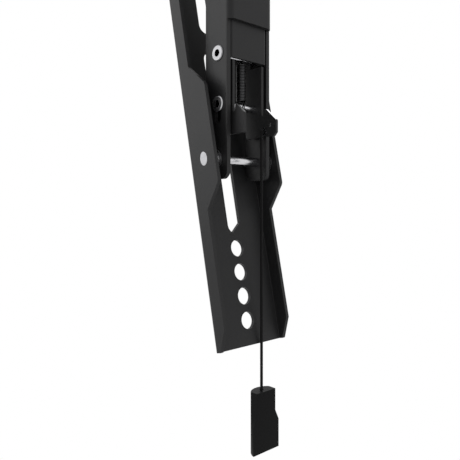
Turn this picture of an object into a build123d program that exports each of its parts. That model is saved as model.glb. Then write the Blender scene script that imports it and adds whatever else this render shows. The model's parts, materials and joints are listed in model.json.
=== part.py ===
from build123d import *
import math
import os

os.makedirs("parts", exist_ok=True)

# Frame: X across, +Y away from the wall, +Z up, origin on the wall face of the upright.
pivot_y = 11.35
pivot_z = -100.0
tilt = 12.25
sheet = 2.0
running = 0.05
gap = 0.3

# Upright that hangs on the wall rail, heights counted from the pivot.
wall_width = 30.3
wall_depth = 19.1
wall_bend = 3.75
wall_bottom = -10.0
wall_top = 312.0
wall_back_corner = 6.0
web_low = 69.4
rail_height = 210.0
web_above_lip = 46.0
lip_seat = 2.6

# Tubular rivets that cross the upright.
pin_y = 9.4
pin_radius = 2.0
pin_bore = 1.55
pin_mouth = 1.8
pin_head_radius = 4.0
pin_head = 0.7
upper_pin = 53.5
lower_pin = 27.85
guide_rivet = 97.0
latch_travel = 7.0
slot_slack = 0.4

# Guide behind the web of the upright.
guide_sheet = 1.5
guide_width = 25.2
guide_low = 50.8
guide_high = 104.0
guide_back = 13.0

# Latch with two ears that catch the lower lip of the rail.
latch_sheet = 1.6
latch_width = 22.0
latch_front = 3.0
latch_back = 17.0
latch_low = 12.4
latch_high = 88.0
latch_web_low = 58.0
latch_step = 49.8
latch_neck = 11.7
latch_bend = 2.1
ear_front = -7.5
ear_low = 14.4
ear_high = 20.7
ear_top_round = 1.5
ear_foot = (-5.85, 12.6)
left_ear_front = -5.15
hook_tip = 27.0
hook_tip_front = -0.35
hook_tip_back = 1.15
notch_floor = 23.75
ear_hole = (-3.25, 18.6)
ear_hole_radius = 0.9

# Spring between the two cross pins.
spring_wire = 0.35
spring_coil = 2.2
spring_turns = 16
spring_x = 0.6
spring_hook = 2.65
spring_hook_drop = 3.2
spring_lead = 0.15
spring_shoulder = (2.1, 1.1)
spring_loop = 240.0

# Pull cord with its eyelet, stop and handle.
cord_radius = 0.75
cord_x = 5.87
cord_y = -0.65
cord_lead_x = 8.2
cord_bend_share = 0.45
eyelet_y = 1.05
eyelet_z = 15.1
eyelet_bore = 1.1
eyelet_neck = 1.5
eyelet_flange_radius = 2.05
eyelet_flange = 0.4
stop_radius = 1.7
stop_length = 1.3
handle_top = -118.4
handle_height = 30.8
handle_width = 18.4
handle_neck_width = 13.4
handle_depth = 7.45
handle_front = -4.15
handle_neck = 11.2
handle_flare = 5.2
handle_bore = 1.05
handle_bore_length = 8.9
handle_pocket = 1.9
knot_radius = 1.6
knot_length = 4.0
knot_chamfer = 0.5

# Display strip, tilted about the pivot.
strip_width = 45.8
strip_face = 11.65
strip_depth = 9.4
strip_bend = 2.3
strip_low = -94.75
strip_length = 450.0
ear_depth = 20.1
ear_from = -13.5
ear_to = 37.0
ear_ramp_low = 11.8
ear_ramp_high = 12.5
ear_round = 3.5
stay_ear_depth = 16.1
stay_ear_half = 9.0
stay_ear_ramp = 8.0
foot_taper = 10.8
foot_depth = 4.2
hole_radius = 4.4
hole_pitch = 12.5
hole_count = 4
slot_low_tips = (-36.7, 65.15)
slot_mid_tip = 77.1
slot_slant_from = (4.4, -31.0)
slot_slant_to = (-1.9, -36.7)

# Axle and spacers of the pivot.
axle_radius = 2.5
axle_cap_across = 2.6
axle_cap_along = 3.5
axle_cap = 1.0
spacer_radius = 5.0

# Stays that hold the tilt near the top.
stay_along = 150.0
stay_inset = 2.5
stay_sheet = 1.5
stay_width = 12.0
stay_from_wall = 1.45
rivet_radius = 2.5
rivet_head_radius = 4.5
rivet_head = 1.5
rivet_foot_radius = 3.8
rivet_foot = 0.45
slide_radius = 3.0
slide_fit = 0.2
slide_head_radius = 5.0
slide_head = 2.3
slide_socket = 2.0
slide_socket_depth = 1.3
slide_nut_across = 10.0
washer_radius = 6.0

# Hook bracket at the top of the upright.
hook_low = 206.0
hook_high = 264.0
hook_back = 15.0
hook_mouth = 2.25
hook_reach = 8.75
hook_nose_low = 6.0
hook_lip = 2.0
hook_over = 10.0
hook_rivets = (213.0, 257.0)

# Planes, of which the side planes give distance from the wall or strip and height from the pivot.
wall_plan = Plane(origin=(0, 0, pivot_z))
wall_side = Plane(origin=(0, 0, pivot_z), x_dir=(0, 1, 0), z_dir=(1, 0, 0))
lean_sin = math.sin(math.radians(tilt))
lean_cos = math.cos(math.radians(tilt))
pivot_place = (0, pivot_y, pivot_z)
strip_plan = Plane(origin=pivot_place, x_dir=(1, 0, 0), z_dir=(0, lean_sin, lean_cos))
strip_side = Plane(origin=pivot_place, x_dir=(0, lean_cos, -lean_sin), z_dir=(1, 0, 0))
strip_front = Plane(origin=pivot_place, x_dir=(-1, 0, 0), z_dir=(0, lean_cos, -lean_sin))

# Places that follow from the sizes above.
wall_half = wall_width / 2
guide_front = sheet + gap
ear_inner = latch_width / 2 - latch_sheet
strip_edge = strip_face - strip_depth
strip_top = strip_low + strip_length
strip_half = strip_width / 2
strip_inner = strip_half - sheet
web_high = notch_floor + rail_height - web_above_lip
hook_throat = notch_floor + rail_height
stay_inner = wall_half + stay_from_wall
stay_outer = stay_inner + stay_sheet
stay_length = math.hypot(stay_along, stay_inset)
stay_offset = math.degrees(math.atan2(stay_inset, stay_along))
strip_slots = (
    slot_low_tips,
    (slot_mid_tip, strip_low + strip_top - slot_mid_tip),
    (strip_low + strip_top - slot_low_tips[1], strip_low + strip_top - slot_low_tips[0]),
)


def stay_slide(lean):
    """Height of the sliding end above the pivot when the strip leans by this angle."""
    return 2 * stay_length * math.cos(math.radians(lean + stay_offset))


def channel(plan, width, web, edge, thick, bend, low, high):
    """Draw and extrude a bent channel between two heights of its plan plane."""
    hand = 1 if web > edge else -1
    with BuildSketch(plan.offset(low)) as profile:
        with BuildLine():
            FilletPolyline(
                (hand * width / 2, edge),
                (hand * width / 2, web),
                (-hand * width / 2, web),
                (-hand * width / 2, edge),
                radius=bend,
            )
            offset(amount=thick, side=Side.LEFT)
        make_face()
    extrude(profile.sketch, amount=high - low)


def keep_outline(side, points, width):
    """Keep only what lies inside this outline of the side view."""
    with BuildSketch(side) as outline:
        with BuildLine():
            Polyline(*points, close=True)
        make_face()
    extrude(outline.sketch, amount=width, both=True, mode=Mode.INTERSECT)


def cross_hole(side, place, radius, width):
    """Drill straight through both flanges."""
    with BuildSketch(side) as hole:
        with Locations(place):
            Circle(radius)
    extrude(hole.sketch, amount=width, both=True, mode=Mode.SUBTRACT)


def cross_slot(side, from_place, to_place, radius, width):
    """Cut an upright slot through both flanges, given by the centres of its ends."""
    middle = ((from_place[0] + to_place[0]) / 2, (from_place[1] + to_place[1]) / 2)
    with BuildSketch(side) as slot:
        with Locations(middle):
            SlotCenterToCenter(abs(to_place[1] - from_place[1]), 2 * radius, rotation=90)
    extrude(slot.sketch, amount=width, both=True, mode=Mode.SUBTRACT)


def near(part, plane, place, reach):
    """Edges along X whose centre lies near this place of a side plane."""
    target = plane.from_local_coords(Vector(place[0], place[1], 0))
    found = []
    for edge in part.edges().filter_by(Axis.X):
        centre = edge.center()
        if math.hypot(centre.Y - target.Y, centre.Z - target.Z) < reach:
            found.append(edge)
    return found


def cross_rivet(name, height, grip):
    """Turn a tubular rivet with rolled heads around the line at this height."""
    axis_plane = Plane(origin=(0, pin_y, pivot_z + height), x_dir=(1, 0, 0), z_dir=(0, 0, 1))
    with BuildPart() as rivet:
        with BuildSketch(axis_plane):
            with BuildLine():
                Polyline(
                    (-grip - pin_head, pin_mouth),
                    (-grip - pin_head, pin_head_radius - pin_head / 2),
                    (-grip - pin_head / 2, pin_head_radius),
                    (-grip, pin_head_radius),
                    (-grip, pin_radius),
                    (grip, pin_radius),
                    (grip, pin_head_radius),
                    (grip + pin_head / 2, pin_head_radius),
                    (grip + pin_head, pin_head_radius - pin_head / 2),
                    (grip + pin_head, pin_mouth),
                    (grip, pin_bore),
                    (-grip, pin_bore),
                    close=True,
                )
            make_face()
        revolve(axis=Axis((0, pin_y, pivot_z + height), (1, 0, 0)))
    rivet.part.label = name
    export_step(rivet.part, "parts/" + name + ".step")


# Upright channel, cut open at both ends of its web for the lips of the rail.
with BuildPart() as wall_channel:
    channel(wall_plan, wall_width, 0, wall_depth, sheet, wall_bend, wall_bottom, wall_top)
    keep_outline(
        wall_side,
        [
            (lip_seat, wall_bottom),
            (wall_depth, wall_bottom),
            (wall_depth, wall_top),
            (lip_seat, wall_top),
            (lip_seat, web_high),
            (-gap, web_high),
            (-gap, web_low),
            (lip_seat, web_low),
        ],
        wall_width,
    )
    fillet(near(wall_channel, wall_side, (lip_seat, wall_bottom), gap), wall_bend)
    fillet(near(wall_channel, wall_side, (wall_depth, wall_bottom), gap), wall_back_corner)
    fillet(near(wall_channel, wall_side, (lip_seat, wall_top), gap), wall_bend)
    fillet(near(wall_channel, wall_side, (wall_depth, wall_top), gap), wall_back_corner)
    cross_hole(wall_side, (pivot_y, 0), axle_radius + running, wall_width)
    for height in (upper_pin, guide_rivet, *hook_rivets):
        cross_hole(wall_side, (pin_y, height), pin_radius, wall_width)
    cross_slot(
        wall_side,
        (pin_y, lower_pin - latch_travel - slot_slack),
        (pin_y, lower_pin),
        pin_radius + slide_fit,
        wall_width,
    )
    cross_slot(
        wall_side,
        (pivot_y, stay_slide(tilt)),
        (pivot_y, stay_slide(0)),
        slide_radius + slide_fit,
        wall_width,
    )
wall_channel.part.label = "wall_channel"
export_step(wall_channel.part, "parts/wall_channel.step")

# Guide, a short channel nested behind the web.
with BuildPart() as latch_guide:
    channel(
        wall_plan, guide_width, guide_front, guide_back, guide_sheet,
        guide_sheet + gap, guide_low, guide_high,
    )
    for height in (upper_pin, guide_rivet):
        cross_hole(wall_side, (pin_y, height), pin_radius, guide_width)
latch_guide.part.label = "latch_guide"
export_step(latch_guide.part, "parts/latch_guide.step")

# Rivets that hold the guide and the hook bracket, and the one that rides with the latch.
cross_rivet("upper_cross_pin", upper_pin, wall_half)
cross_rivet("guide_rivet", guide_rivet, wall_half)
cross_rivet("hook_rivet_lower", hook_rivets[0], wall_half)
cross_rivet("hook_rivet_upper", hook_rivets[1], wall_half)
cross_rivet("lower_cross_pin", lower_pin, wall_half + running)

# Latch, bent from one sheet. Its legs pass behind the upper pin, and the right ear is the longer one.
with BuildPart() as latch:
    channel(
        wall_plan, latch_width, latch_back, ear_front - gap, latch_sheet,
        latch_bend, latch_low, latch_high,
    )
    keep_outline(
        wall_side,
        [
            ear_foot,
            (ear_front, ear_low),
            (ear_front, ear_high),
            (hook_tip_front, hook_tip),
            (hook_tip_back, hook_tip),
            (hook_tip_back, notch_floor),
            (latch_front, notch_floor),
            (latch_front, latch_step),
            (latch_neck, latch_step),
            (latch_neck, latch_high),
            (latch_back + gap, latch_high),
            (latch_back + gap, latch_web_low),
            (latch_back - latch_bend, latch_web_low),
            (latch_back - latch_bend, latch_low),
        ],
        latch_width,
    )
    fillet(near(latch, wall_side, (ear_front, ear_high), gap), ear_top_round)
    fillet(near(latch, wall_side, (latch_back - latch_bend, latch_low), gap), ear_top_round)
    with BuildSketch(wall_side.offset(-latch_width / 2)):
        with Locations((left_ear_front, latch_low)):
            Rectangle(2 * latch_back, 2 * latch_high, align=(Align.MAX, Align.CENTER))
    extrude(amount=2 * latch_sheet, mode=Mode.SUBTRACT)
    cross_hole(wall_side, (pin_y, lower_pin), pin_radius, latch_width)
    with BuildSketch(wall_side.offset(ear_inner)):
        with Locations(ear_hole):
            Circle(ear_hole_radius)
        with Locations((eyelet_y, eyelet_z)):
            Circle(eyelet_neck)
    extrude(amount=latch_sheet, mode=Mode.SUBTRACT)
latch.part.label = "latch"
export_step(latch.part, "parts/latch.step")


def spring_end(plane):
    """Draw the hook that leaves the coil at this plane and loops around a pin."""
    with BuildLine(plane) as hook_line:
        Spline(
            (0, 0, spring_coil),
            (spring_shoulder[0], spring_shoulder[1], spring_coil / 2),
            (spring_hook, spring_hook_drop, 0),
            tangents=[(1, spring_lead, 0), (0, 1, 0)],
        )
        CenterArc((0, spring_hook_drop), spring_hook, 0, spring_loop)
    return hook_line


# Extension spring with a loop over each pin.
coil_low = pivot_z + lower_pin + spring_hook_drop
coil_high = pivot_z + upper_pin - spring_hook_drop
with BuildPart() as latch_spring:
    with BuildLine() as coil_line:
        Helix(
            (coil_high - coil_low) / spring_turns, coil_high - coil_low, spring_coil,
            center=(spring_x, pin_y, coil_low),
        )
    with BuildSketch(Plane(origin=coil_line.line @ 0, z_dir=coil_line.line % 0)):
        RegularPolygon(spring_wire, 6)
    sweep(path=coil_line.line, is_frenet=True)
    for end, up in ((coil_low, -1), (coil_high, 1)):
        hook_line = spring_end(Plane(origin=(spring_x, pin_y, end), x_dir=(0, up, 0), z_dir=(1, 0, 0)))
        with BuildSketch(Plane(origin=hook_line.line @ 0, z_dir=hook_line.line % 0)):
            RegularPolygon(spring_wire, 6)
        sweep(path=hook_line.line)
latch_spring.part.label = "latch_spring"
export_step(latch_spring.part, "parts/latch_spring.step")

# Eyelet in the right ear, turned around the line where the cord comes out.
with BuildPart() as cord_eyelet:
    with BuildSketch(Plane(origin=(0, eyelet_y, pivot_z + eyelet_z), x_dir=(1, 0, 0), z_dir=(0, 0, 1))):
        with BuildLine():
            Polyline(
                (ear_inner - eyelet_flange, eyelet_bore),
                (ear_inner - eyelet_flange, eyelet_flange_radius),
                (ear_inner, eyelet_flange_radius),
                (ear_inner, eyelet_neck),
                (latch_width / 2, eyelet_neck),
                (latch_width / 2, eyelet_flange_radius),
                (latch_width / 2 + eyelet_flange, eyelet_flange_radius),
                (latch_width / 2 + eyelet_flange, eyelet_bore),
                close=True,
            )
        make_face()
    revolve(axis=Axis((0, eyelet_y, pivot_z + eyelet_z), (1, 0, 0)))
cord_eyelet.part.label = "cord_eyelet"
export_step(cord_eyelet.part, "parts/cord_eyelet.step")

# Stop crimped on the end of the cord behind the eyelet.
stop_face = latch_width / 2 + eyelet_flange
with BuildPart() as cord_stop:
    with BuildSketch(Plane(origin=(stop_face, eyelet_y, pivot_z + eyelet_z), z_dir=(1, 0, 0))):
        Circle(stop_radius)
    extrude(amount=stop_length)
cord_stop.part.label = "cord_stop"
export_step(cord_stop.part, "parts/cord_stop.step")

# Cord, straight through the eyelet, round one bend and straight down to the knot.
knot_top = pivot_z + handle_top - handle_bore_length
cord_lead = math.hypot(cord_lead_x - cord_x, eyelet_y - cord_y)
cord_swing = math.atan2(eyelet_y - cord_y, cord_lead_x - cord_x)
cord_turns = [cord_swing, math.pi / 2]
cord_bends = [cord_bend_share * cord_lead / math.tan(turn / 2) for turn in cord_turns]
with BuildPart() as pull_cord:
    with BuildLine() as cord_line:
        FilletPolyline(
            (stop_face, eyelet_y, pivot_z + eyelet_z),
            (cord_lead_x, eyelet_y, pivot_z + eyelet_z),
            (cord_x, cord_y, pivot_z + eyelet_z),
            (cord_x, cord_y, knot_top),
            radius=cord_bends,
        )
    with BuildSketch(Plane(origin=cord_line.line @ 0, z_dir=cord_line.line % 0)):
        Circle(cord_radius)
    sweep(path=cord_line.line)
pull_cord.part.label = "pull_cord"
export_step(pull_cord.part, "parts/pull_cord.step")
cord_length = sum(edge.length for edge in cord_line.edges())
cord_volume = cord_length * math.pi * cord_radius**2
print("cord length", round(cord_length, 2), "bend radii", [round(bend, 3) for bend in cord_bends])
print("cord volume", round(pull_cord.part.volume, 2), "of", round(cord_volume, 2))

# Handle, flat in front and round behind, narrower at its neck, with a pocket for the knot.
handle_face = Plane(origin=(cord_x, 0, pivot_z + handle_top), x_dir=(1, 0, 0), z_dir=(0, -1, 0))
with BuildPart() as pull_handle:
    with BuildSketch(Plane(origin=(cord_x, handle_front, pivot_z + handle_top))):
        with BuildLine():
            ThreePointArc((handle_width / 2, 0), (0, handle_depth), (-handle_width / 2, 0))
            Line((-handle_width / 2, 0), (handle_width / 2, 0))
        make_face()
    extrude(amount=-handle_height)
    with BuildSketch(handle_face):
        with BuildLine():
            Polyline(
                (-handle_neck_width / 2, 0),
                (-handle_neck_width / 2, -handle_neck),
                (-handle_width / 2, -handle_neck - handle_flare),
                (-handle_width / 2, -handle_height),
                (handle_width / 2, -handle_height),
                (handle_width / 2, -handle_neck - handle_flare),
                (handle_neck_width / 2, -handle_neck),
                (handle_neck_width / 2, 0),
                close=True,
            )
        make_face()
    extrude(amount=handle_width, both=True, mode=Mode.INTERSECT)
    with BuildSketch(Plane(origin=(cord_x, cord_y, pivot_z + handle_top))):
        Circle(handle_bore)
    extrude(amount=-handle_bore_length, mode=Mode.SUBTRACT)
    with BuildSketch(Plane(origin=(cord_x, cord_y, knot_top))):
        Circle(handle_pocket)
    extrude(amount=-handle_height, mode=Mode.SUBTRACT)
pull_handle.part.label = "pull_handle"
export_step(pull_handle.part, "parts/pull_handle.step")

# Knot that carries the handle.
with BuildPart() as cord_knot:
    with BuildSketch(Plane(origin=(cord_x, cord_y, knot_top))):
        Circle(knot_radius)
    extrude(amount=-knot_length)
    chamfer(cord_knot.edges().filter_by(GeomType.CIRCLE), knot_chamfer)
cord_knot.part.label = "cord_knot"
export_step(cord_knot.part, "parts/cord_knot.step")

# Display strip, a shallow channel with deeper ears around the pivot.
with BuildPart() as tv_channel:
    channel(
        strip_plan, strip_width, strip_face, strip_face - ear_depth, sheet,
        strip_bend, strip_low, strip_top,
    )
    keep_outline(
        strip_side,
        [
            (strip_face + gap, strip_low),
            (strip_face - foot_depth, strip_low),
            (strip_edge, strip_low + foot_taper),
            (strip_edge, ear_from - ear_ramp_low),
            (strip_face - ear_depth, ear_from),
            (strip_face - ear_depth, ear_to),
            (strip_edge, ear_to + ear_ramp_high),
            (strip_edge, stay_along - stay_ear_half - stay_ear_ramp),
            (strip_face - stay_ear_depth, stay_along - stay_ear_half),
            (strip_face - stay_ear_depth, stay_along + stay_ear_half),
            (strip_edge, stay_along + stay_ear_half + stay_ear_ramp),
            (strip_edge, strip_top - foot_taper),
            (strip_face - foot_depth, strip_top),
            (strip_face + gap, strip_top),
        ],
        strip_width,
    )
    for corner in (ear_from, ear_to):
        fillet(near(tv_channel, strip_side, (strip_face - ear_depth, corner), gap), ear_round)
    for corner in (stay_along - stay_ear_half, stay_along + stay_ear_half):
        fillet(near(tv_channel, strip_side, (strip_face - stay_ear_depth, corner), gap), ear_round)
    cross_hole(strip_side, (0, 0), axle_radius, strip_width)
    cross_hole(strip_side, (stay_inset, stay_along), rivet_radius, strip_width)
    with BuildSketch(strip_front):
        for number in range(hole_count):
            place = hole_pitch * (number + 1)
            with Locations((0, strip_low + place), (0, strip_top - place)):
                Circle(hole_radius)
        for tips in strip_slots:
            with Locations((0, (tips[0] + tips[1]) / 2)):
                SlotOverall(tips[1] - tips[0], 2 * hole_radius, rotation=90)
        with BuildLine():
            Polyline(
                (-slot_slant_from[0] - gap, slot_slant_from[1]),
                (-slot_slant_from[0], slot_slant_from[1]),
                (-slot_slant_to[0], slot_slant_to[1]),
                (-slot_slant_to[0], slot_slant_to[1] - gap),
                (-slot_slant_from[0] - gap, slot_slant_to[1] - gap),
                close=True,
            )
        make_face(mode=Mode.SUBTRACT)
    extrude(amount=strip_depth * 2, mode=Mode.SUBTRACT)
    for side in (-1, 1):
        with BuildSketch(strip_side.offset(side * strip_half)):
            Ellipse(axle_cap_across, axle_cap_along)
        extrude(amount=-side * axle_cap, mode=Mode.SUBTRACT)
tv_channel.part.label = "tv_channel"
export_step(tv_channel.part, "parts/tv_channel.step")

# Axle with ends riveted flush into oval recesses of the strip, so it can't turn in it.
with BuildPart() as pivot_axle:
    with BuildSketch(strip_side):
        Circle(axle_radius)
    extrude(amount=strip_half, both=True)
    for side in (-1, 1):
        with BuildSketch(strip_side.offset(side * strip_half)):
            Ellipse(axle_cap_across, axle_cap_along)
        extrude(amount=-side * axle_cap)
pivot_axle.part.label = "pivot_axle"
export_step(pivot_axle.part, "parts/pivot_axle.step")


def side_ring(name, side, place, inner, outer, near_x, far_x):
    """Turn a flat ring or bush on one side, between two distances from the middle."""
    with BuildPart() as ring:
        with BuildSketch(strip_side.offset(side * near_x)):
            with Locations(place):
                Circle(outer)
                Circle(inner, mode=Mode.SUBTRACT)
        extrude(amount=side * (far_x - near_x))
    ring.part.label = name
    export_step(ring.part, "parts/" + name + ".step")


# Pieces that come once on each side.
for side, hand in ((-1, "left"), (1, "right")):
    side_ring(
        "pivot_spacer_" + hand, side, (0, 0), axle_radius, spacer_radius,
        wall_half + running, strip_inner,
    )
    side_ring(
        "stay_spacer_" + hand, side, (stay_inset, stay_along), rivet_radius, spacer_radius,
        stay_outer + running, strip_inner,
    )
    with BuildPart() as stay_rivet:
        with BuildSketch(strip_side.offset(side * (stay_inner - running))):
            with Locations((stay_inset, stay_along)):
                Circle(rivet_radius)
        extrude(amount=side * (strip_half - stay_inner + running))
        with BuildSketch(strip_side.offset(side * (stay_inner - running))):
            with Locations((stay_inset, stay_along)):
                Circle(rivet_foot_radius)
        extrude(amount=-side * rivet_foot)
        with BuildSketch(strip_side.offset(side * strip_half)):
            with Locations((stay_inset, stay_along)):
                Circle(rivet_head_radius)
        extrude(amount=side * rivet_head)
    stay_rivet.part.label = "stay_rivet_" + hand
    export_step(stay_rivet.part, "parts/stay_rivet_" + hand + ".step")

# Stays with their sliding bolt, on the upright line through the pivot.
hinge_point = strip_side.from_local_coords(Vector(stay_inset, stay_along, 0))
slide_point = (pivot_y, stay_slide(tilt))
hinge_side = (hinge_point.Y, hinge_point.Z - pivot_z)
stay_middle = ((hinge_side[0] + slide_point[0]) / 2, (hinge_side[1] + slide_point[1]) / 2)
stay_angle = math.degrees(math.atan2(slide_point[1] - hinge_side[1], slide_point[0] - hinge_side[0]))
for side, hand in ((-1, "left"), (1, "right")):
    with BuildPart() as stay:
        with BuildSketch(wall_side.offset(side * stay_inner)):
            with Locations(stay_middle):
                SlotCenterToCenter(stay_length, stay_width, rotation=stay_angle)
            with Locations(hinge_side):
                Circle(rivet_radius + running, mode=Mode.SUBTRACT)
            with Locations(slide_point):
                Circle(slide_radius, mode=Mode.SUBTRACT)
        extrude(amount=side * stay_sheet)
    stay.part.label = "stay_" + hand
    export_step(stay.part, "parts/stay_" + hand + ".step")
    with BuildPart() as washer:
        with BuildSketch(wall_side.offset(side * (wall_half + running))):
            with Locations(slide_point):
                Circle(washer_radius)
                Circle(slide_radius, mode=Mode.SUBTRACT)
        extrude(amount=side * (stay_from_wall - running))
    washer.part.label = "slide_washer_" + hand
    export_step(washer.part, "parts/slide_washer_" + hand + ".step")

# Bolt with a low head and its thin nut.
with BuildPart() as slide_bolt:
    with BuildSketch(wall_side.offset(-stay_outer)):
        with Locations(slide_point):
            Circle(slide_radius)
    extrude(amount=2 * stay_outer + slide_head)
    with BuildSketch(wall_side.offset(-stay_outer)):
        with Locations(slide_point):
            Circle(slide_head_radius)
    extrude(amount=-slide_head)
    with BuildSketch(wall_side.offset(-stay_outer - slide_head)):
        with Locations(slide_point):
            RegularPolygon(slide_socket, 6)
    extrude(amount=slide_socket_depth, mode=Mode.SUBTRACT)
slide_bolt.part.label = "slide_bolt"
export_step(slide_bolt.part, "parts/slide_bolt.step")
with BuildPart() as slide_nut:
    with BuildSketch(wall_side.offset(stay_outer)):
        with Locations(slide_point):
            RegularPolygon(slide_nut_across / 2, 6, major_radius=False)
            Circle(slide_radius, mode=Mode.SUBTRACT)
    extrude(amount=slide_head)
slide_nut.part.label = "slide_nut"
export_step(slide_nut.part, "parts/slide_nut.step")

# Hook bracket, a channel open to the wall whose sides end in hooks.
hook_tip_outer = lip_seat - hook_mouth - hook_lip
with BuildPart() as hook_bracket:
    channel(
        wall_plan, guide_width, hook_back, lip_seat - hook_reach - hook_lip, sheet,
        wall_bend, hook_low, hook_high,
    )
    keep_outline(
        wall_side,
        [
            (hook_back + gap, hook_low),
            (lip_seat, hook_low),
            (lip_seat, hook_throat),
            (lip_seat - hook_mouth, hook_throat),
            (lip_seat - hook_mouth, hook_throat - hook_reach),
            (hook_tip_outer, hook_throat - hook_reach),
            (ear_front, hook_throat - hook_lip),
            (ear_front, hook_throat + hook_nose_low),
            (ear_front + hook_lip, hook_throat + hook_over),
            (lip_seat, hook_throat + hook_over + hook_reach),
            (lip_seat, hook_high),
            (hook_back + gap, hook_high),
        ],
        wall_width,
    )
    for height in hook_rivets:
        cross_hole(wall_side, (pin_y, height), pin_radius, wall_width)
hook_bracket.part.label = "hook_bracket"
export_step(hook_bracket.part, "parts/hook_bracket.step")
print("stay slot from", round(stay_slide(tilt), 3), "to", round(stay_slide(0), 3), "above the pivot")
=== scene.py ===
import json
import math

import bmesh
import bpy
import numpy as np
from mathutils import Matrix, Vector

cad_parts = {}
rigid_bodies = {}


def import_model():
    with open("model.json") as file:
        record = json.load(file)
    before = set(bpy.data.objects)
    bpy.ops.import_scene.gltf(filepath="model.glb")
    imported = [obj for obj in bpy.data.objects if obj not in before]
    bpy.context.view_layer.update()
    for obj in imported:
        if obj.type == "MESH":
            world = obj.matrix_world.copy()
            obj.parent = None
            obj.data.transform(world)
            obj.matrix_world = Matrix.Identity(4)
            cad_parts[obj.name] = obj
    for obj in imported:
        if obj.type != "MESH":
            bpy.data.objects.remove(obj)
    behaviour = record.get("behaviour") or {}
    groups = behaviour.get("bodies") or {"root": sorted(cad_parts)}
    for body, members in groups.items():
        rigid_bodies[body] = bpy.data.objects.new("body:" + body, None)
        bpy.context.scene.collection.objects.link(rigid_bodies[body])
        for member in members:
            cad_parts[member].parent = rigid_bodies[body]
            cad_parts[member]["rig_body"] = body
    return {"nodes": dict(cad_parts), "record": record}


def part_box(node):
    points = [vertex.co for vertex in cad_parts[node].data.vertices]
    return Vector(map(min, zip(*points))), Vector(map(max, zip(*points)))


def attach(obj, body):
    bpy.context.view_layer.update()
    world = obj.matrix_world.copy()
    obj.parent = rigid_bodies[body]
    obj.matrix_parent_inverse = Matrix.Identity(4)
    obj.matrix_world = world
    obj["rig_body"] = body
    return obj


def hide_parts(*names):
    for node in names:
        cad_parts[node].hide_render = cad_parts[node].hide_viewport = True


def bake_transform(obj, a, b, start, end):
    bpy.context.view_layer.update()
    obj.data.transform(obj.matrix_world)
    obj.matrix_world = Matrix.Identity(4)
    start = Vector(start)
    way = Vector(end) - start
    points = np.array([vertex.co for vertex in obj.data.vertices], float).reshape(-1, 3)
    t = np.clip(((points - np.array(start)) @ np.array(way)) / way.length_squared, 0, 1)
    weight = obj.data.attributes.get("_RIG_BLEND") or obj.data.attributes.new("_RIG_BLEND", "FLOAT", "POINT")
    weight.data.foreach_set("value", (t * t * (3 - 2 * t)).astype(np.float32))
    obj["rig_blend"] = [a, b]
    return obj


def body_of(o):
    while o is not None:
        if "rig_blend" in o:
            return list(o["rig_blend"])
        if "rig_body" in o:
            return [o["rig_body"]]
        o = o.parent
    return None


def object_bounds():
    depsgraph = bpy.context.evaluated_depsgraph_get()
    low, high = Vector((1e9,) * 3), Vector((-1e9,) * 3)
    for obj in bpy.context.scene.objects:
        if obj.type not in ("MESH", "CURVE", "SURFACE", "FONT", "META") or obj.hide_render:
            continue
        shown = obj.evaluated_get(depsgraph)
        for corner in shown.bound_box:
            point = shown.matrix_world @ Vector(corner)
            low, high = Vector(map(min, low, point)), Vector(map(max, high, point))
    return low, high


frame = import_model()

cad_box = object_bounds()

# Camera
# A level camera at the foot of the bracket, to the left and on the wall side of it.
# Its place is counted from the pivot, and the horizon stands above the middle of the picture.
joints = {joint["name"]: joint for joint in frame["record"]["behaviour"]["joints"]}
pivot = np.array(joints["display_tilt"]["pos_m"])
camera_from_pivot = np.array([-0.1876, -0.2036, -0.02314])
camera_turn = math.radians(41.85)
picture_side = 460
focal_pixels = 525.9
horizon_row = 205.1
sensor = 36.0
camera = bpy.data.objects.new("camera", bpy.data.cameras.new("camera"))
camera.location = pivot + camera_from_pivot
camera.rotation_euler = (math.pi / 2, 0, -camera_turn)
camera.data.sensor_width = sensor
camera.data.lens = focal_pixels / picture_side * sensor
camera.data.shift_y = (horizon_row - picture_side / 2) / picture_side
camera.data.clip_start = 0.01
bpy.context.scene.collection.objects.link(camera)
bpy.context.scene.camera = camera

# Room, floor and lamps
# The object hangs in a plain white room, which shows white to the camera and in shiny metal. Of the
# three soft lamps one is on the camera's left, one high beyond the object, and one behind the camera.
floor_drop = 0.02
floor_half = 3.0
room_light = 0.5
lamp_target = np.array([0.0, 0.0, -0.05])
bpy.context.scene.view_settings.view_transform = "Standard"


class Signal:
    """A value on its way through a material.

    Arithmetic on it adds Math nodes, and through adds any other node.
    """

    def __init__(self, tree, socket):
        self.tree = tree
        self.socket = socket

    def math(self, operation, left, right=0.0):
        return self.through("ShaderNodeMath", {"operation": operation}, {0: left, 1: right})

    def __add__(self, other):
        return self.math("ADD", self, other)

    def __sub__(self, other):
        return self.math("SUBTRACT", self, other)

    def __rsub__(self, other):
        return self.math("SUBTRACT", other, self)

    def __mul__(self, other):
        return self.math("MULTIPLY", self, other)

    def __rmul__(self, other):
        return self.math("MULTIPLY", other, self)

    def __truediv__(self, other):
        return self.math("DIVIDE", self, other)

    def __pow__(self, other):
        return self.math("POWER", self, other)

    def through(self, kind, settings, inputs):
        """Add a node of this kind with its settings and inputs, and return its first output."""
        node = self.tree.nodes.new(kind)
        for name, value in settings.items():
            setattr(node, name, value)
        for name, value in inputs.items():
            if isinstance(value, Signal):
                self.tree.links.new(value.socket, node.inputs[name])
            else:
                node.inputs[name].default_value = value
        return Signal(self.tree, node.outputs[0])


def seen_directly(tree):
    """One for rays that look at or mirror the room, and nought for the light that it gives off."""
    path = tree.nodes.new("ShaderNodeLightPath")
    camera_ray = Signal(tree, path.outputs["Is Camera Ray"])
    glossy_ray = Signal(tree, path.outputs["Is Glossy Ray"])
    looking = camera_ray.math("MAXIMUM", camera_ray, glossy_ray)
    return looking.math("MAXIMUM", looking, Signal(tree, path.outputs["Is Transmission Ray"]))


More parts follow.
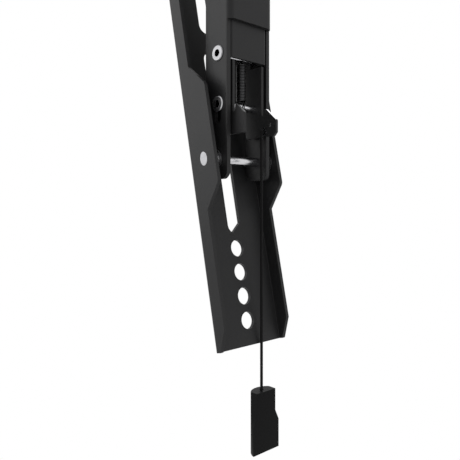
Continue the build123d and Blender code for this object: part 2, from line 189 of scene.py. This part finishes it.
room = bpy.data.worlds.new("room")
room.use_nodes = True
bpy.context.scene.world = room
sky = room.node_tree.nodes["Background"]
sky.inputs["Color"].default_value = (1, 1, 1, 1)
room_strength = seen_directly(room.node_tree) * (1 - room_light) + room_light
room.node_tree.links.new(room_strength.socket, sky.inputs["Strength"])

paper = bpy.data.materials.new("paper")
paper.use_nodes = True
paper_tree = paper.node_tree
paper_shader = paper_tree.nodes["Principled BSDF"]
paper_shader.inputs["Base Color"].default_value = (0.8, 0.8, 0.8, 1)
paper_shader.inputs["Roughness"].default_value = 0.9
paper_glow = paper_tree.nodes.new("ShaderNodeEmission")
paper_mix = paper_tree.nodes.new("ShaderNodeMixShader")
paper_tree.links.new(seen_directly(paper_tree).socket, paper_mix.inputs["Fac"])
paper_tree.links.new(paper_shader.outputs["BSDF"], paper_mix.inputs[1])
paper_tree.links.new(paper_glow.outputs["Emission"], paper_mix.inputs[2])
paper_tree.links.new(paper_mix.outputs["Shader"], paper_tree.nodes["Material Output"].inputs["Surface"])
floor_z = cad_box[0][2] - floor_drop
floor_mesh = bpy.data.meshes.new("floor")
floor_mesh.from_pydata(
    [(-floor_half, -floor_half, floor_z), (floor_half, -floor_half, floor_z),
     (floor_half, floor_half, floor_z), (-floor_half, floor_half, floor_z)],
    [], [(0, 1, 2, 3)],
)
floor = bpy.data.objects.new("floor", floor_mesh)
floor_mesh.materials.append(paper)
bpy.context.scene.collection.objects.link(floor)


def softbox(name, place, side, power):
    """A square area lamp at a place, turned so that its face looks at the middle of the bracket."""
    lamp = bpy.data.lights.new(name, "AREA")
    lamp.shape = "SQUARE"
    lamp.size = side
    lamp.energy = power
    box = bpy.data.objects.new(name, lamp)
    toward = lamp_target - np.array(place)
    box.location = place
    lean = math.atan2(math.hypot(toward[0], toward[1]), -toward[2])
    box.rotation_euler = (lean, 0, math.atan2(-toward[0], toward[1]))
    bpy.context.scene.collection.objects.link(box)


softbox("back_left_box", place=(-0.9, 0.7, 0.3), side=0.9, power=6.0)
softbox("overhead_box", place=(0.82, 0.29, 0.92), side=0.6, power=6.0)
softbox("front_box", place=(0.3, -1.2, 0.3), side=0.9, power=2.85)


# Powder-coated steel
# Every bent sheet is mild steel with a satin black powder coat, which is a little uneven
# and has the fine skin of melted powder. Its edges are rounded by the coat and catch light.
nodes = frame["nodes"]
coat_level = 0.0207
coat_roughness = 0.42
coat_shine = 0.15
coat_round = 0.0003
cloud_scale = 38.0
skin_scale = 1150.0
nib_scale = 3600.0
coat_relief = 0.00006
merge_distance = 1e-6
flat_angle = math.radians(0.5)
edge_angle = math.radians(40)


def finish_named(name):
    """A new material and the starting signal of its Object coordinates."""
    material = bpy.data.materials.new(name)
    material.use_nodes = True
    tree = material.node_tree
    place = Signal(tree, tree.nodes.new("ShaderNodeTexCoord").outputs["Object"])
    return material, tree.nodes["Principled BSDF"], place


def axes_of(place):
    """The X, Y and Z of this place as three signals."""
    split = place.tree.nodes.new("ShaderNodeSeparateXYZ")
    place.tree.links.new(place.socket, split.inputs["Vector"])
    return [Signal(place.tree, split.outputs[axis]) for axis in "XYZ"]


def clipped(signal):
    """The signal held between nought and one."""
    return signal.math("MINIMUM", signal.math("MAXIMUM", signal, 0.0), 1.0)


def grain(place, scale, detail):
    """Noise of this many lumps per metre, centred on zero and about one high each way."""
    noise = place.through(
        "ShaderNodeTexNoise", {},
        {"Vector": place, "Scale": scale, "Detail": detail, "Roughness": 0.5},
    )
    return (noise - 0.5) * 2.0


def grey(level):
    """A signal used as a neutral colour: the same number in red, green and blue."""
    return level.through(
        "ShaderNodeCombineColor", {}, {"Red": level, "Green": level, "Blue": level * 1.03},
    )


def relief(place, height, distance, strength):
    """Bump of this height signal over this distance in metres."""
    return place.through(
        "ShaderNodeBump", {}, {"Height": height, "Distance": distance, "Strength": strength},
    )


def powder_coat(name, level, roughness, shine):
    """Satin coat: slow cloudiness in colour and gloss, fine skin and sparse nibs in the bump."""
    material, shader, place = finish_named(name)
    tree = material.node_tree
    clouds = grain(place, cloud_scale, detail=3.0)
    skin = grain(place, skin_scale, detail=2.0)
    nibs = grain(place, nib_scale, detail=1.0)
    colour = grey(level * (clouds * 0.07 + 1.0 + skin * 0.05))
    tree.links.new(colour.socket, shader.inputs["Base Color"])
    tree.links.new((clouds * 0.035 + skin * 0.03 + roughness).socket, shader.inputs["Roughness"])
    bump = relief(place, skin * 0.7 + nibs * 0.3, coat_relief, strength=0.5)
    tree.links.new(bump.socket, shader.inputs["Normal"])
    shader.inputs["Specular IOR Level"].default_value = shine
    return material


def dress(node, material):
    """Put one material on every slot of a CAD node."""
    slots = nodes[node].data.materials
    slots.clear()
    slots.append(material)


def rounded_copy(node, material, width):
    """A merged copy that stands for a CAD node, with its sharp edges rounded to this width."""
    mesh = bmesh.new()
    mesh.from_mesh(nodes[node].data)
    bmesh.ops.remove_doubles(mesh, verts=mesh.verts, dist=merge_distance)
    bmesh.ops.dissolve_limit(mesh, angle_limit=flat_angle, verts=mesh.verts, edges=mesh.edges)
    data = bpy.data.meshes.new(node + "_coated")
    mesh.to_mesh(data)
    mesh.free()
    data.materials.append(material)
    data.shade_smooth()
    piece = bpy.data.objects.new(node + "_coated", data)
    bpy.context.scene.collection.objects.link(piece)
    bevel = piece.modifiers.new("edges", "BEVEL")
    bevel.width = width
    bevel.segments = 2
    bevel.limit_method = "ANGLE"
    bevel.angle_limit = edge_angle
    bevel.use_clamp_overlap = True
    normals = piece.modifiers.new("flats", "WEIGHTED_NORMAL")
    normals.mode = "FACE_AREA"
    normals.weight = 100
    normals.thresh = 0.01
    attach(piece, body_of(nodes[node])[0])
    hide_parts(node)
    return piece


steel_coat = powder_coat("black_powder_coat", coat_level, coat_roughness, coat_shine)
for sheet_piece in (
    "wall_channel", "tv_channel", "latch_guide", "hook_bracket", "stay_left", "stay_right",
):
    rounded_copy(sheet_piece, steel_coat, coat_round)

# Latch
# The latch is bent from the same coated steel. Along the ramps of its two ears a thin skin is
# painted as shiny bare steel: a painted highlight for the overhead light that the sloped faces catch.
ramp_low = (-0.0075, -0.0793)
ramp_high = (-0.00035, -0.0730)
# Colour of the shiny steel skin that paints the highlight on the ramps.
ramp_highlight_steel = 0.11
highlight_skin = 0.00014
highlight_ragged = 0.00006
ragged_scale = 900.0
latch_skin_relief = 0.00005
highlight_border = 0.0001
highlight_before = 0.0002
highlight_beyond = 0.0004
highlight_fade = 0.0003
ear_side = 0.001
# The left ear's painted highlight is weaker, because its ramp catches less light.
left_ear_highlight = 0.55


def ramp_highlight_coat(name, level, roughness, shine):
    """Satin coat with a painted highlight: a thin skin along the ramps turns to shiny bare steel, with a
    ragged border.

    The distance from the line between ramp_low and ramp_high gives the depth of the skin, and
    the distance along it gives the ends. The left ear's painted highlight is weaker than the right one's.
    """
    material, shader, place = finish_named(name)
    tree = material.node_tree
    across, ahead, height = axes_of(place)
    along_y = ramp_high[0] - ramp_low[0]
    along_z = ramp_high[1] - ramp_low[1]
    length = math.hypot(along_y, along_z)
    from_low_y = ahead - ramp_low[0]
    from_low_z = height - ramp_low[1]
    along = (from_low_y * along_y + from_low_z * along_z) / length
    depth = (from_low_y * along_z - from_low_z * along_y) / length
    ragged = grain(place, ragged_scale, detail=2.0) * highlight_ragged
    highlight_skin_mask = clipped((highlight_skin - depth + ragged) / highlight_border)
    start_mask = clipped((along + highlight_before) / highlight_fade)
    end_mask = clipped((length + highlight_beyond - along) / highlight_fade)
    right_ear = clipped(across / ear_side)
    ear_highlight = right_ear * (1 - left_ear_highlight) + left_ear_highlight
    # Painted highlight: along the ramps, where the sloped faces catch the overhead light, the coat turns to
    # shiny steel.
    painted_ramp_highlight = highlight_skin_mask * (start_mask * end_mask) * ear_highlight
    clouds = grain(place, cloud_scale, detail=3.0)
    skin = grain(place, skin_scale, detail=2.0)
    coat = level * (clouds * 0.07 + 1.0 + skin * 0.05)
    steel = (skin * 0.15 + 1.0) * ramp_highlight_steel
    tree.links.new(grey(coat * (1 - painted_ramp_highlight) + steel * painted_ramp_highlight).socket, shader.inputs["Base Color"])
    tree.links.new(painted_ramp_highlight.socket, shader.inputs["Metallic"])
    gloss = (clouds * 0.035 + skin * 0.03 + roughness) - painted_ramp_highlight * 0.15
    tree.links.new(gloss.socket, shader.inputs["Roughness"])
    tree.links.new(relief(place, skin, latch_skin_relief, strength=0.5).socket, shader.inputs["Normal"])
    shader.inputs["Specular IOR Level"].default_value = shine
    return material


latch_highlight_coat = ramp_highlight_coat("powder_coat_with_painted_highlight", coat_level, coat_roughness, coat_shine)
rounded_copy("latch", latch_highlight_coat, coat_round)

# Zinc-plated pins, axle and bushes
# The tubular rivets, the pivot axle with its bushes and the rivets of the stays are turned steel
# with bright zinc plate. The hammered end faces are duller, and the bores get painted shade.
zinc_level = 0.62
face_skin = 0.0009
face_border = 0.0001
marks_scale = (9000.0, 300.0, 300.0)
marks_relief = 0.00002
plate_scale = 260.0
rivet_bore = 0.0019
# How far the painted shade darkens the bore of a rivet.
painted_bore_shade = 0.96
dull_face = 0.55
# The lower pin's end faces are darkened much less than the others: a lit copy of the zinc, a painted
# highlight on that head.
painted_lit_face = 0.1


def zinc_plate(node, bore, face_dull):
    """Bright plate with turning marks along X, and painted shade within the bore round the piece's axis.

    The end faces, which are the skin furthest from the middle along X, are duller by face_dull.
    """
    low, high = (np.array(corner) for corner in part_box(node))
    centre = (low + high) / 2
    half_length = float(high[0] - low[0]) / 2
    material, shader, place = finish_named("zinc_on_" + node)
    tree = material.node_tree
    across, depth, height = (
        axis - float(middle) for axis, middle in zip(axes_of(place), centre)
    )
    radius = (depth * depth + height * height) ** 0.5
    outward = across.math("ABSOLUTE", across)
    face = clipped((outward - (half_length - face_skin)) / face_border)
    # Painted shade: the colour within the bore round the axis is darkened for the shade inside the hole.
    bore_shade = clipped((bore - radius) / face_border)
    stretched = place.through("ShaderNodeMapping", {}, {"Vector": place, "Scale": marks_scale})
    marks = place.through(
        "ShaderNodeTexNoise", {}, {"Vector": stretched, "Scale": 1.0, "Detail": 2.0},
    )
    clouds = grain(place, plate_scale, detail=2.0)
    plate = (clouds * 0.08 + 1.0) * zinc_level
    tone = plate * (1 - face * face_dull) * (1 - bore_shade * painted_bore_shade)
    tree.links.new(grey(tone).socket, shader.inputs["Base Color"])
    gloss = (marks - 0.5) * 0.12 + clouds * 0.05 + face * 0.2 + 0.22
    tree.links.new(gloss.socket, shader.inputs["Roughness"])
    tree.links.new(relief(place, marks, marks_relief, strength=0.35).socket, shader.inputs["Normal"])
    shader.inputs["Metallic"].default_value = 1.0
    return material


for pin in ("upper_cross_pin", "guide_rivet", "hook_rivet_lower", "hook_rivet_upper"):
    dress(pin, zinc_plate(pin, rivet_bore, dull_face))
# The lower cross pin gets the lit copy of the zinc, with its end faces kept bright as a painted highlight.
dress("lower_cross_pin", zinc_plate("lower_cross_pin", rivet_bore, painted_lit_face))
for turned in (
    "pivot_axle", "pivot_spacer_left", "pivot_spacer_right", "stay_rivet_left",
    "stay_rivet_right", "stay_spacer_left", "stay_spacer_right",
):
    dress(turned, zinc_plate(turned, bore=0.0, face_dull=dull_face))

# Latch spring
# A tension spring wound close from dark oiled wire, with a loop over each cross pin. Its upper
# loop stays with the upright and its lower loop goes down with the latch, so the coil stretches.
wire_radius = 0.00035
wire_sides = 10
coil_radius = 0.0022
coil_turns = 24
steps_per_turn = 28
loop_radius = 0.00265
loop_reach = 0.0032
loop_turn = math.radians(240)
leaving_coil = (0, 0.006, 0.0009)
joining_loop = (0, 0, 0.004)
spring_x = 0.0006
pin_centres = [np.mean(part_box(pin), axis=0) for pin in ("lower_cross_pin", "upper_cross_pin")]
coil_low = pin_centres[0][2] + loop_reach
coil_high = pin_centres[1][2] - loop_reach


def spring_line():
    """Points along the wire from the lower loop to the upper one.

    Along the coil X and Y are the coil's radius times the cosine and sine of an even angle, and
    the height grows evenly. Each bend is a cubic curve between two places with a direction at
    each. Each loop is an arc: Y and Z are its radius times the cosine and sine of an even
    angle. The lower end is the upper one turned over.
    """
    turn = np.linspace(0, 1, coil_turns * steps_per_turn + 1)
    angle = 2 * math.pi * coil_turns * turn
    coil_height = coil_low + (coil_high - coil_low) * turn
    coil = np.column_stack([coil_radius * np.cos(angle), coil_radius * np.sin(angle), coil_height])
    t = np.linspace(0, 1, steps_per_turn)[1:-1, None]
    start, end = np.array([coil_radius, 0, 0]), np.array([0, loop_radius, loop_reach])
    bend = (2 * t**3 - 3 * t**2 + 1) * start + (t**3 - 2 * t**2 + t) * np.array(leaving_coil)
    bend = bend + (3 * t**2 - 2 * t**3) * end + (t**3 - t**2) * np.array(joining_loop)
    arc = np.linspace(0, loop_turn, 2 * steps_per_turn)
    loop_height = loop_reach + loop_radius * np.sin(arc)
    loop = np.column_stack([0 * arc, loop_radius * np.cos(arc), loop_height])
    hook = np.vstack([bend, loop])
    upper = hook + (0, 0, coil_high)
    lower = (hook * (1, -1, -1) + (0, 0, coil_low))[::-1]
    return np.vstack([lower, coil, upper]) + (spring_x, pin_centres[0][1], 0)


def tube_along(points, radius, sides):
    """A round tube of which each ring stands square to the line.

    A ring is its point on the line plus the radius times the cosine of an even angle along a
    first axis and the sine along a second. The first is the cross product of a helper direction
    and the line's direction, and the second is the cross product of the line's direction and
    the first. The helper is Z where the line runs level, and turns to X where it runs upright.
    """
    ahead = np.gradient(points, axis=0)
    ahead = ahead / np.linalg.norm(ahead, axis=1)[:, None]
    upright_part = np.clip(3 * np.abs(ahead[:, 2:3]) - 0.6, 0, 1)
    helper = np.array([0, 0, 1.0]) * (1 - upright_part) + np.array([1.0, 0, 0]) * upright_part
    first = np.cross(helper, ahead)
    first = first / np.linalg.norm(first, axis=1)[:, None]
    second = np.cross(ahead, first)
    angle = np.linspace(0, 2 * math.pi, sides, endpoint=False)[None, :, None]
    outward = np.cos(angle) * first[:, None, :] + np.sin(angle) * second[:, None, :]
    rings = points[:, None, :] + radius * outward
    count = len(points)
    number = np.arange(count * sides).reshape(count, sides)
    beside = np.roll(number, -1, axis=1)
    quads = np.stack([number[:-1], beside[:-1], beside[1:], number[1:]], axis=-1).reshape(-1, 4)
    caps = [list(map(int, number[0][::-1])), list(map(int, number[-1]))]
    data = bpy.data.meshes.new("latch_spring_wire")
    data.from_pydata(rings.reshape(-1, 3).tolist(), [], quads.tolist() + caps)
    data.shade_smooth()
    return data


film_scale = 420.0
scratch_scale = 6000.0
scratch_relief = 0.00001


def dark_metal(name, level, roughness):
    """Dark metal with a film that is thicker in patches, and fine scratches in the bump."""
    material, shader, place = finish_named(name)
    tree = material.node_tree
    film = grain(place, film_scale, detail=2.0)
    scratches = grain(place, scratch_scale, detail=1.0)
    tree.links.new(grey((film * 0.12 + 1.0) * level).socket, shader.inputs["Base Color"])
    tree.links.new((film * 0.06 + roughness).socket, shader.inputs["Roughness"])
    tree.links.new(relief(place, scratches, scratch_relief, strength=0.3).socket, shader.inputs["Normal"])
    shader.inputs["Metallic"].default_value = 1.0
    return material


spring_mesh = tube_along(spring_line(), wire_radius, wire_sides)
spring_mesh.materials.append(dark_metal("oiled_wire", level=0.058, roughness=0.3))
spring_piece = bpy.data.objects.new("latch_spring_wire", spring_mesh)
bpy.context.scene.collection.objects.link(spring_piece)
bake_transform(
    spring_piece, "upright", "latch",
    start=(spring_x, float(pin_centres[1][1]), float(coil_high)),
    end=(spring_x, float(pin_centres[0][1]), float(coil_low)),
)
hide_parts("latch_spring")

# Sliding bolt, nut and cord fittings
# The bolt and nut of the stays are blackened steel, which has a fine dull skin like the coat. The
# eyelet and the crimped stop of the cord are plated with black nickel, which shines more.
oxide = powder_coat("black_oxide", level=0.03, roughness=0.3, shine=0.4)
for oxide_piece in ("slide_bolt", "slide_nut"):
    dress(oxide_piece, oxide)
black_nickel = dark_metal("black_nickel", level=0.4, roughness=0.25)
for fitting in ("cord_eyelet", "cord_stop"):
    dress(fitting, black_nickel)

# Handle and washers
# The pull handle is moulded in black plastic with a fine even grain and softly broken edges,
# and the washers of the stays are cut from black nylon with the same grain.
flow_scale = 70.0
spark_scale = 2400.0
plastic_relief = 0.00005
plastic_round = 0.00018


def moulded_plastic(name, level, roughness, shine):
    """Matt plastic: even fine grain in the bump and a slight change of gloss from the mould."""
    material, shader, place = finish_named(name)
    tree = material.node_tree
    flow = grain(place, flow_scale, detail=2.0)
    spark = grain(place, spark_scale, detail=2.0)
    tree.links.new(grey(level * (flow * 0.06 + 1.0)).socket, shader.inputs["Base Color"])
    tree.links.new((flow * 0.04 + spark * 0.05 + roughness).socket, shader.inputs["Roughness"])
    tree.links.new(relief(place, spark, plastic_relief, strength=0.5).socket, shader.inputs["Normal"])
    shader.inputs["Specular IOR Level"].default_value = shine
    return material


plastic = moulded_plastic("black_plastic", level=0.003, roughness=0.42, shine=0.06)
handle_piece = rounded_copy("pull_handle", plastic, plastic_round)
for washer in ("slide_washer_left", "slide_washer_right"):
    dress(washer, plastic)

# Pull cord
# A thin braided cord. It comes out of the eyelet in the right ear, turns down over its rim
# and hangs straight to the handle, where a knot in the pocket holds it.
cord_radius = 0.00075
exit_depth = 0.00105
lead_across = 0.0082
hang_across = 0.00587
hang_depth = -0.00065
turn_drop = 0.009
plait_pitch = 0.0016
plait_strands = 4.0
fuzz_scale = 5200.0
braid_relief = 0.00012
eyelet_low, eyelet_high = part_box("cord_eyelet")
cord_height = (eyelet_low[2] + eyelet_high[2]) / 2
stop_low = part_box("cord_stop")[0]
knot_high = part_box("cord_knot")[1]
cord_start = np.array([stop_low[0], exit_depth, cord_height])
cord_bottom = np.array([hang_across, hang_depth, knot_high[2]])
cord_points = np.array([
    cord_start,
    (lead_across, exit_depth, cord_height),
    (hang_across, hang_depth, cord_height),
    (hang_across, hang_depth, cord_height - turn_drop),
    cord_bottom,
])
cord_weights = np.ones(len(cord_points))
cord_curve = bpy.data.curves.new("pull_cord_line", "CURVE")
cord_curve.dimensions = "3D"
cord_spline = cord_curve.splines.new("NURBS")
cord_spline.points.add(len(cord_points) - 1)
cord_spline.points.foreach_set("co", np.column_stack([cord_points, cord_weights]).ravel())
cord_spline.order_u = 3
cord_spline.use_endpoint_u = True
cord_curve.resolution_u = 12
cord_curve.bevel_depth = cord_radius
cord_curve.bevel_resolution = 4
cord_curve.use_fill_caps = True
cord_piece = bpy.data.objects.new("pull_cord_braid", cord_curve)
bpy.context.scene.collection.objects.link(cord_piece)


def braid(name, level):
    """Braided yarn with fuzz: ridges of two slants that cross, from sines of height and angle."""
    material, shader, place = finish_named(name)
    tree = material.node_tree
    across, ahead, height = axes_of(place)
    side = across - float(cord_bottom[0])
    depth = ahead - float(cord_bottom[1])
    rise = height * (2 * math.pi / plait_pitch)
    slant = side.math("ARCTAN2", depth, side) * plait_strands
    left = rise.math("SINE", rise + slant)
    right = rise.math("SINE", rise - slant)
    ridges = left.math("MAXIMUM", left, right)
    fuzz = grain(place, fuzz_scale, detail=2.0)
    colour = grey(level * (ridges * 0.3 + 1.0 + fuzz * 0.15))
    tree.links.new(colour.socket, shader.inputs["Base Color"])
    tree.links.new((fuzz * 0.05 + 0.75).socket, shader.inputs["Roughness"])
    bump = relief(place, ridges * 0.8 + fuzz * 0.2, braid_relief, strength=0.8)
    tree.links.new(bump.socket, shader.inputs["Normal"])
    shader.inputs["Specular IOR Level"].default_value = 0.1
    return material


yarn = braid("black_braid", level=0.007)
cord_curve.materials.append(yarn)
dress("cord_knot", yarn)
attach(cord_piece, "latch")
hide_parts("pull_cord")
